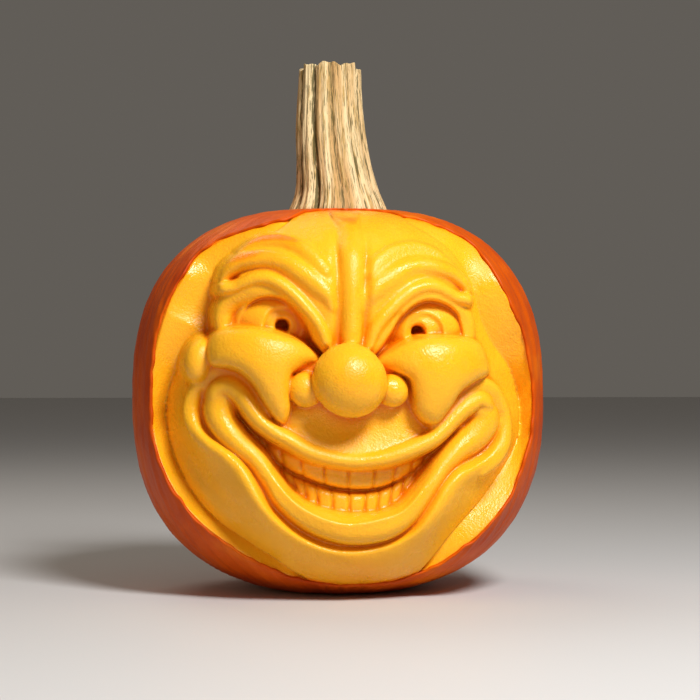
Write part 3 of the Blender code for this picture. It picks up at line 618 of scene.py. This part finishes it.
# %% Undercutting
def undercut(points, x, z, front, radius, waist):
    """Draw the wall behind a ball in towards its axis, so that the ball hangs over what is behind it."""
    dx, dz = points[:, 0] - x, points[:, 2] + FACE_TILT * points[:, 0] - z
    out = np.hypot(dx, dz)
    depth = np.clip(front + points[:, 1], 0, waist)
    narrow = 1 - np.sqrt(1 - (depth / radius) ** 2)
    share = narrow * np.clip((radius * 1.35 - out) / (radius * 0.35), 0, 1)
    points[:, 0] -= dx * share
    points[:, 2] -= dz * share


# %% [markdown]
# ## The flesh
# The grid becomes the carved front. Its open edge is then drawn back just under the rind, ring by ring, and
# closed inside the pumpkin, where nothing is seen. Two values are kept at each point for the material:
# how far it lies under where the skin was, and how deep it sits in a crease, by which the material paints
# shade into the creases and light onto the ridges.

# %% Flesh
FACE_CELLS = 296
RELAX_ROUNDS = 350
RIND_THICKNESS = 1.3                    # how far the flesh keeps below the skin at the edge and the sides
EDGE_BAND = 4                           # the flesh rises out of that depth over this width, in millimetres
BACK_RINGS = 6
BACK_END = math.radians(170)
POLISH = 1                              # rounds of smoothing that take the grid's teeth off the steep walls
# The next two set the painted shade in creases and painted light on ridges, and how it fades towards the
# rind.
SHADE_CREASE_SCALES = [(25, 2.2), (400, 45.0)]      # rounds of smoothing, and the depth that counts as a full crease
SHADE_FADE_BAND = 30                         # creases pale towards the rind over this width, in millimetres


def below_skin(points):
    """Roughly how deep each point lies under the pumpkin's uncut skin, in millimetres."""
    half = np.where(points[:, 2] > WAIST, CROWN, FOOT)
    power = np.where(points[:, 2] > WAIST, CROWN_POWER, FOOT_POWER)
    out = np.hypot(points[:, 0], points[:, 1]) / rib_scale(points[:, 0], -points[:, 1], points[:, 2])
    level = ((out / RADIUS) ** power + (np.abs(points[:, 2] - WAIST) / half) ** power) ** (1 / power)
    return (1 - level) * RADIUS


def blurred(values, times):
    """A grid of values smoothed by repeated averaging with its neighbours."""
    out = values.copy()
    for _ in range(times):
        out[1:-1, 1:-1] = (out[2:, 1:-1] + out[:-2, 1:-1] + out[1:-1, 2:] + out[1:-1, :-2]) / 4
    return out


def add_values(mesh, **values):
    """Keep a number for each point of a mesh, for its material to read."""
    for name, numbers in values.items():
        layer = mesh.attributes.new(name, "FLOAT", "POINT")
        layer.data.foreach_set("value", np.asarray(numbers, np.float32))


def make_piece(name, bm):
    """A smooth object in the scene, made from a finished mesh."""
    mesh = bpy.data.meshes.new(name)
    bm.to_mesh(mesh)
    bm.free()
    mesh.shade_smooth()
    piece = bpy.data.objects.new(name, mesh)
    bpy.context.scene.collection.objects.link(piece)
    return piece


def grid_in_order(bm, cells):
    """A square grid whose points are numbered row by row, with their places in the square."""
    bmesh.ops.create_grid(bm, x_segments=cells, y_segments=cells, size=1)
    verts = sorted(bm.verts, key=lambda p: (round(p.co.y, 6), round(p.co.x, 6)))
    for number, vert in enumerate(verts):
        vert.index = number
    bm.verts.sort()
    bm.verts.ensure_lookup_table()
    side = cells + 1
    u = np.array([p.co.x for p in bm.verts]).reshape(side, side)
    v = np.array([p.co.y for p in bm.verts]).reshape(side, side)
    return u, v


def make_flesh():
    bm = bmesh.new()
    angle_layer = bm.verts.layers.float.new("angle")
    u, v = grid_in_order(bm, FACE_CELLS)
    angle, _ = square_to_disc(u, v)
    place = spread_over_face(u, v, RELAX_ROUNDS).reshape(2, -1)
    carving = carve(place[0], place[1])
    points = np.column_stack([place[0], -carving.front, place[1]])
    for ball in NOSE_BALLS:
        undercut(points, *ball)
    under = below_skin(points)
    front = carving.front.reshape(u.shape)
    # Painted shade and light: positive in creases, which the material paints darker orange, negative on
    # ridges, which it paints paler yellow.
    crease = sum(np.clip((blurred(front, rounds) - front) / deep, -1, 1) for rounds, deep in SHADE_CREASE_SCALES).ravel()
    crease *= np.minimum(carving.to_rind / SHADE_FADE_BAND, 1) ** 2
    points = drawn_in(points, RIND_THICKNESS * np.exp(-carving.to_rind / EDGE_BAND))
    points = np.column_stack([blurred(points[:, axis].reshape(u.shape), POLISH).ravel() for axis in range(3)])
    for vert, point, turn in zip(bm.verts, settle(points.copy()), angle.ravel()):
        vert.co = point
        vert[angle_layer] = turn
    loop = [e for e in bm.edges if e.is_boundary]
    for ring in range(1, BACK_RINGS + 1):
        grown = bmesh.ops.extrude_edge_only(bm, edges=loop)["geom"]
        loop = [e for e in grown if isinstance(e, bmesh.types.BMEdge)]
        fresh = [p for p in grown if isinstance(p, bmesh.types.BMVert)]
        around = np.array([p[angle_layer] for p in fresh])
        start = turn_at_cut(around)
        side = side_points(around, start + (BACK_END - start) * (ring / BACK_RINGS))
        for vert, point in zip(fresh, settle(drawn_in(side, RIND_THICKNESS))):
            vert.co = point
    bmesh.ops.contextual_create(bm, geom=loop)
    bmesh.ops.triangulate(bm, faces=[f for f in bm.faces if len(f.verts) > 4])
    bmesh.ops.recalc_face_normals(bm, faces=bm.faces)
    extra = len(bm.verts) - len(under)
    flesh = make_piece("flesh", bm)
    add_values(flesh.data, under=np.append(under, np.zeros(extra)), crease=np.append(crease, np.zeros(extra)))
    return flesh


flesh = make_flesh()
print("flesh", len(flesh.data.vertices), "points")

# %% [markdown]
# ## The rind
# The rind is a thin shell over the sides and back. It is one square grid too, laid over the back with its
# edge along the cut, so no pole shows. Its shallow lobes, finer lengthwise ridges and small bumps are real
# shape. A copy drawn in towards the middle and joined along the edge gives it a thickness at the cut.

# %% Rind
RIND_CELLS = 200
SHELL = 1.9             # thickness of the rind, in millimetres


def rind_relief(points):
    """Fine lengthwise ridges and small bumps on the skin, in millimetres."""
    azimuth = np.arctan2(points[:, 0], -points[:, 1])
    height = points[:, 2] / 100
    ridges = 0.28 * np.sin(azimuth * 52 + 1.3 * np.sin(height * 3 + azimuth * 2))
    ridges += 0.2 * np.sin(azimuth * 91 + 2.0 * np.sin(height * 5 - azimuth * 3))
    bumps = 0.12 * np.sin(azimuth * 70 + height * 9) * np.sin(height * 37 + 4 * np.sin(azimuth * 9))
    fade = np.clip(np.hypot(points[:, 0], points[:, 1]) / 90, 0, 1)
    return (ridges + bumps) * fade


def make_rind():
    bm = bmesh.new()
    u, v = grid_in_order(bm, RIND_CELLS)
    angle, share = (values.ravel() for values in square_to_disc(u, v))
    skin = side_points(angle, math.pi - (math.pi - turn_at_cut(angle)) * share)
    for vert, point in zip(bm.verts, settle(drawn_in(skin, -rind_relief(skin)))):
        vert.co = point
    copied = bmesh.ops.duplicate(bm, geom=bm.verts[:] + bm.edges[:] + bm.faces[:])["geom"]
    inner = [p for p in copied if isinstance(p, bmesh.types.BMVert)]
    middle = Vector((0, 0, WAIST * MM))
    for vert in inner:
        vert.co -= (vert.co - middle).normalized() * SHELL * MM
    bmesh.ops.bridge_loops(bm, edges=[e for e in bm.edges if e.is_boundary])
    bmesh.ops.recalc_face_normals(bm, faces=bm.faces)
    return make_piece("rind", bm)


rind = make_rind()
print("rind", len(rind.data.vertices), "points")

# %% [markdown]
# ## The stem
# The dry stem is corky: broad pale ridges with narrow dark grooves between them, all running lengthwise with
# a slight twist. One circle is extruded upwards ring by ring, and each ring takes its outline from the same
# ridge formula, so the ridges run through from the flared foot to the cut top.

# %% Stem
STEM_RINGS = [(246, 33, 0), (252, 33, 0), (258, 32.5, 0), (263, 30.5, 0), (270, 28, -0.5), (279, 26.2, -1.5),
              (291, 24.6, -3), (303, 23.6, -4.2), (315, 22.8, -5), (328, 21.8, -5.4), (341, 21, -5.5),
              (352, 20.6, -5.5), (357, 20.3, -5.5)]
STEM_SIDES = 256
STEM_LAYERS = 180
STEM_RIDGES = 12
RIDGE_TOP = 1.05          # of the plain radius
TOP_RINGS = 12
TOP_SHRINK = 0.86
TOP_DIP = 0.12            # how far each ring of the cut top lies below the one outside it, in millimetres
GRAIN_STRETCH = 0.0022    # how slowly the pattern changes along the stem, for each millimetre


def stem_scale(angle, z):
    """Broad ridges with narrow grooves between them, twisting a little on the way up."""
    turn = angle * STEM_RIDGES / 2 + 0.5 * np.sin(2 * angle + 0.7) + 0.004 * (z - 258)
    depth = 0.15 + 0.06 * np.sin(3 * angle + 2.2)
    return RIDGE_TOP - depth * (1 - np.abs(np.sin(turn))) ** 1.7


def stem_fibres(angle, z):
    """Fine lengthwise cracks and cords, as a share of the radius."""
    wander = 0.25 * np.sin(z / 23 + 2 * angle) + 0.1 * np.sin(z / 9 + 5 * angle)
    cords = 0.010 * np.sin(angle * 37 + wander * 4) + 0.008 * np.sin(angle * 61 - wander * 6 + 1)
    cracks = 0.012 * np.clip(np.sin(angle * 19 + wander * 5), 0.6, 1)
    return cords + 0.005 * np.sin(angle * 103 + z / 15) - cracks


def make_stem():
    rings = through(STEM_RINGS, steps=12)
    layers = np.linspace(rings[0, 0], rings[-1, 0], STEM_LAYERS)
    widths, leans = (np.interp(layers, rings[:, 0], rings[:, k]) for k in (1, 2))
    bm = bmesh.new()
    angle_layer = bm.verts.layers.float.new("angle")
    groove_layer = bm.verts.layers.float.new("groove")
    grain_layer = bm.verts.layers.float_vector.new("grain")
    loop = bmesh.ops.create_circle(bm, cap_ends=False, segments=STEM_SIDES, radius=1)["verts"]
    bottom = edges = list(bm.edges)
    for vert in loop:
        vert[angle_layer] = math.atan2(vert.co.y, vert.co.x)
    for z, half_width, lean in zip(layers, widths, leans):
        if z > layers[0]:
            grown = bmesh.ops.extrude_edge_only(bm, edges=edges)["geom"]
            edges = [e for e in grown if isinstance(e, bmesh.types.BMEdge)]
            loop = [p for p in grown if isinstance(p, bmesh.types.BMVert)]
        angle = np.array([p[angle_layer] for p in loop])
        ridge = stem_scale(angle, z)
        reach = half_width * (ridge + stem_fibres(angle, z))
        uneven = 1.1 * np.sin(angle * 7 + 0.8) + 0.7 * np.sin(angle * 16) - 3.4 * np.abs(np.cos(angle)) ** 7
        slant = np.clip((z - 330) / 27, 0, 1) * uneven
        for vert, a, r, g, s in zip(loop, angle, reach, ridge, slant):
            vert.co = ((lean + r * math.cos(a)) * MM, r * math.sin(a) * MM, (z + s) * MM)
            vert[groove_layer] = g
            vert[grain_layer] = (math.cos(a), math.sin(a), z * GRAIN_STRETCH)
    top = bmesh.ops.contextual_create(bm, geom=edges)["faces"]
    bmesh.ops.contextual_create(bm, geom=bottom)
    for _ in range(TOP_RINGS):
        middle = top[0].calc_center_median()
        grown = bmesh.ops.extrude_face_region(bm, geom=top)["geom"]
        bmesh.ops.delete(bm, geom=top, context="FACES_ONLY")
        top = [f for f in grown if isinstance(f, bmesh.types.BMFace)]
        for vert in top[0].verts:
            vert.co = middle + (vert.co - middle) * TOP_SHRINK
            vert.co.z -= TOP_DIP * MM
    bmesh.ops.triangulate(bm, faces=[f for f in bm.faces if len(f.verts) > 4])
    bmesh.ops.recalc_face_normals(bm, faces=bm.faces)
    return make_piece("stem", bm)


stem = make_stem()
print("stem", len(stem.data.vertices), "points")

# %% [markdown]
# ## Finishes
# Each finish is built from a few kinds of node, so small helpers for those come first: a colour ramp, a
# cloudy pattern, a sum, a value kept on the mesh, and a bump.

# %% Node helpers
def new_material(name):
    material = bpy.data.materials.new(name)
    material.use_nodes = True
    tree = material.node_tree
    return material, tree, tree.nodes["Principled BSDF"]


def colour_ramp(tree, stops, source):
    ramp = tree.nodes.new("ShaderNodeValToRGB")
    while len(ramp.color_ramp.elements) > 1:
        ramp.color_ramp.elements.remove(ramp.color_ramp.elements[0])
    ramp.color_ramp.elements[0].position = stops[0][0]
    ramp.color_ramp.elements[0].color = (*stops[0][1], 1)
    for place, rgb in stops[1:]:
        ramp.color_ramp.elements.new(place).color = (*rgb, 1)
    tree.links.new(source, ramp.inputs["Fac"])
    return ramp.outputs["Color"]


def noise(tree, scale, detail, roughness=0.55, along=None):
    """A cloudy pattern, scale in waves per metre, or in waves per unit of the vector attribute "along"."""
    if along:
        where = tree.nodes.new("ShaderNodeAttribute")
        where.attribute_name = along
        place = where.outputs["Vector"]
    else:
        place = tree.nodes.new("ShaderNodeTexCoord").outputs["Object"]
    texture = tree.nodes.new("ShaderNodeTexNoise")
    texture.inputs["Scale"].default_value = scale
    texture.inputs["Detail"].default_value = detail
    texture.inputs["Roughness"].default_value = roughness
    tree.links.new(place, texture.inputs["Vector"])
    return texture.outputs["Fac"]


def maths(tree, operation, *values):
    """A sum of two or three values, each a number or a socket."""
    node = tree.nodes.new("ShaderNodeMath")
    node.operation = operation
    for number, value in enumerate(values):
        if isinstance(value, (int, float)):
            node.inputs[number].default_value = value
        else:
            tree.links.new(value, node.inputs[number])
    return node.outputs[0]


def value_of(tree, name):
    node = tree.nodes.new("ShaderNodeAttribute")
    node.attribute_name = name
    return node.outputs["Fac"]


def bump(tree, shader, height, distance, strength):
    node = tree.nodes.new("ShaderNodeBump")
    node.inputs["Distance"].default_value = distance
    node.inputs["Strength"].default_value = strength
    tree.links.new(height, node.inputs["Height"])
    tree.links.new(node.outputs["Normal"], shader.inputs["Normal"])


# %% [markdown]
# ## Flesh finish
# Cut flesh is moist and lets light in a little, so it has subsurface light and a wet gloss. Its colour turns
# from orange just under the rind to yellow deeper in. A painted image could hold that, but the depth under
# the skin is already kept for each point, so a ramp over it follows the carving exactly. Shade is painted
# into the creases as a darker orange, and light onto the ridges as a paler yellow.

# %% Flesh finish
COLOUR_DEPTH = 18.0     # the depth under the skin that is 1 on the colour ramp, in millimetres
UNDER_SKIN = (0.88, 0.22, 0.003)
NEAR_SKIN = (0.95, 0.38, 0.005)
MIDDLE_FLESH = (0.96, 0.42, 0.007)
DEEP_FLESH = (0.97, 0.46, 0.012)
# Painted shade for the creases and painted light for the ridges.
PAINTED_SHADE_COLOUR = (0.82, 0.24, 0.001)
PAINTED_LIGHT_COLOUR = (0.98, 0.58, 0.060)


def mix_colour(tree, amount, first, second):
    """Between two colours, each a colour or a socket, by an amount from 0 to 1."""
    node = tree.nodes.new("ShaderNodeMix")
    node.data_type = "RGBA"
    tree.links.new(amount, node.inputs["Factor"])
    for name, value in (("A", first), ("B", second)):
        socket = next(s for s in node.inputs if s.name == name and s.type == "RGBA")
        if isinstance(value, tuple):
            socket.default_value = (*value, 1)
        else:
            tree.links.new(value, socket)
    return next(s for s in node.outputs if s.type == "RGBA")


def step_between(tree, value, low, high):
    """0 where a value is under low, 1 over high, and smooth between."""
    node = tree.nodes.new("ShaderNodeMapRange")
    node.interpolation_type = "SMOOTHSTEP"
    node.inputs["From Min"].default_value = low
    node.inputs["From Max"].default_value = high
    tree.links.new(value, node.inputs["Value"])
    return node.outputs["Result"]


def flesh_finish():
    material, tree, shader = new_material("flesh finish")
    patches = maths(tree, "SUBTRACT", noise(tree, 26, 3), 0.5)
    depth = maths(tree, "MULTIPLY_ADD", patches, 4.0, value_of(tree, "under"))
    layers = [(0.0, UNDER_SKIN), (0.04, NEAR_SKIN), (0.12, MIDDLE_FLESH), (0.3, DEEP_FLESH)]
    colour = colour_ramp(tree, layers, maths(tree, "DIVIDE", depth, COLOUR_DEPTH))
    # Painted shade: creases turn the darker orange. Painted light: ridges turn a paler yellow.
    crease = maths(tree, "MULTIPLY_ADD", patches, 0.5, value_of(tree, "crease"))
    colour = mix_colour(tree, step_between(tree, crease, 0.05, 1.3), colour, PAINTED_SHADE_COLOUR)
    ridge = maths(tree, "MULTIPLY", step_between(tree, maths(tree, "MULTIPLY", crease, -1.0), 0.2, 1.6), 0.2)
    colour = mix_colour(tree, ridge, colour, PAINTED_LIGHT_COLOUR)
    tree.links.new(colour, shader.inputs["Base Color"])
    shader.inputs["Subsurface Weight"].default_value = 0.15
    shader.inputs["Subsurface Radius"].default_value = (1.0, 0.5, 0.1)
    shader.inputs["Subsurface Scale"].default_value = 0.002
    shader.inputs["Specular IOR Level"].default_value = 0.4
    wet = noise(tree, 60, 4)
    roughness = colour_ramp(tree, [(0.40, (0.20,) * 3), (0.62, (0.45,) * 3)], wet)
    tree.links.new(roughness, shader.inputs["Roughness"])
    grain = maths(tree, "MULTIPLY_ADD", noise(tree, 220, 3), 1.2, noise(tree, 800, 2))
    bump(tree, shader, grain, 0.0005, 0.7)
    return material


# %% [markdown]
# ## Rind finish
# The rind is waxy and an uneven orange, redder in some clouds than in others. Its ridges and bumps are in the
# mesh, so the finish needs only the clouds, a faint gloss and a very fine bump. A cloudy pattern through the
# solid shows no seam on a closed form, which a painted image would.

# %% Rind finish
RIND_COLOURS = [(0.3, (0.46, 0.046, 0.0005)), (0.55, (0.62, 0.088, 0.0007)), (0.75, (0.76, 0.165, 0.001))]


def rind_finish():
    material, tree, shader = new_material("rind finish")
    colour = colour_ramp(tree, RIND_COLOURS, noise(tree, 22, 5))
    tree.links.new(colour, shader.inputs["Base Color"])
    shader.inputs["Roughness"].default_value = 0.45
    shader.inputs["Specular IOR Level"].default_value = 0.12
    bump(tree, shader, noise(tree, 300, 4), 0.0004, 0.5)
    return material


# %% [markdown]
# ## Stem finish
# The dry stem is pale cork with brown streaks and dark olive grooves, all running lengthwise. The patterns
# are read from a vector on the mesh that changes slowly along the stem, so they stretch into fibres, and the
# ridge formula's own value says where the grooves are.

# %% Stem finish
PALE_CORK = (0.88, 0.69, 0.38)
BROWN_CORK = (0.62, 0.37, 0.14)
BROWN_STREAK = (0.50, 0.31, 0.09)
OLIVE_GROOVE = (0.10, 0.08, 0.018)


def stem_finish():
    material, tree, shader = new_material("stem finish")
    streaks = noise(tree, 14, 6, 0.65, along="grain")
    bands = noise(tree, 3.2, 2, 0.5, along="grain")
    hairs = noise(tree, 42, 3, 0.6, along="grain")
    colour = mix_colour(tree, step_between(tree, bands, 0.35, 0.65), PALE_CORK, BROWN_CORK)
    colour = mix_colour(tree, step_between(tree, streaks, 0.50, 0.62), colour, BROWN_STREAK)
    below_ridge = maths(tree, "SUBTRACT", RIDGE_TOP, value_of(tree, "groove"))
    low = step_between(tree, below_ridge, 0.03, 0.13)
    olive = step_between(tree, maths(tree, "MULTIPLY_ADD", low, 0.16, hairs), 0.53, 0.64)
    colour = mix_colour(tree, maths(tree, "MULTIPLY", olive, 0.9), colour, OLIVE_GROOVE)
    tree.links.new(colour, shader.inputs["Base Color"])
    shader.inputs["Roughness"].default_value = 0.8
    bump(tree, shader, maths(tree, "ADD", hairs, streaks), 0.0012, 0.8)
    return material


# %% [markdown]
# ## Three pieces in place of one
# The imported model's pumpkin is one solid. Each of the three pieces gets its finish, rides on the same body,
# and stands in for that solid.

# %% Finishes put on
for piece, finish in ((flesh, flesh_finish()), (rind, rind_finish()), (stem, stem_finish())):
    piece.data.materials.append(finish)
    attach(piece, "root")
    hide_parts("pumpkin")
    print(piece.name, "has", finish.name)

# %% [markdown]
# ## Floor, light and camera
# A plain pale floor and soft studio light: a strong lamp high on the right front, a wide weak warm one on the
# left, a weak one high behind, and a dim warm sky. The camera is level and stands a little to the left.

# %% Stage
def make_floor():
    bm = bmesh.new()
    bmesh.ops.create_grid(bm, x_segments=1, y_segments=1, size=6)
    floor = make_piece("floor", bm)
    material, _, shader = new_material("floor finish")
    shader.inputs["Base Color"].default_value = (0.62, 0.61, 0.60, 1)
    shader.inputs["Roughness"].default_value = 0.6
    floor.data.materials.append(material)
    floor.location.z = -0.0005


def add_lamp(name, place, size, power, tint=(1, 1, 1)):
    aim = Vector((0, 0, 0.15))
    light = bpy.data.lights.new(name, "AREA")
    light.shape = "DISK"
    light.size = size
    light.energy = power
    light.color = tint
    lamp = bpy.data.objects.new(name, light)
    bpy.context.scene.collection.objects.link(lamp)
    lamp.location = place
    lamp.rotation_euler = (Vector(place) - aim).to_track_quat("Z", "Y").to_euler()


def add_camera():
    distance, turn, aside, height, half_view = 1.5, math.radians(3.5), 0.0082, 0.1626, 0.2401
    camera = bpy.data.cameras.new("camera")
    camera.sensor_width = 36
    camera.lens = camera.sensor_width / 2 * distance / half_view
    holder = bpy.data.objects.new("camera", camera)
    bpy.context.scene.collection.objects.link(holder)
    holder.location = (aside * math.cos(turn) - distance * math.sin(turn),
                       -aside * math.sin(turn) - distance * math.cos(turn), height)
    holder.rotation_euler = (math.pi / 2, 0, -turn)
    bpy.context.scene.camera = holder


bpy.context.scene.view_settings.view_transform = "Standard"
make_floor()
add_lamp("key", (0.45, -1.0, 1.15), 0.45, 27)
add_lamp("fill", (-1.3, -1.1, 0.5), 1.2, 2.6, (1, 0.66, 0.32))
add_lamp("back", (-0.5, 0.8, 1.4), 0.8, 4, (1, 0.9, 0.78))
world = bpy.data.worlds.new("studio")
world.use_nodes = True
world.node_tree.nodes["Background"].inputs["Color"].default_value = (1.0, 0.91, 0.80, 1)
world.node_tree.nodes["Background"].inputs["Strength"].default_value = 0.12
bpy.context.scene.world = world
add_camera()
print("lamps", [light.name for light in bpy.data.lights])
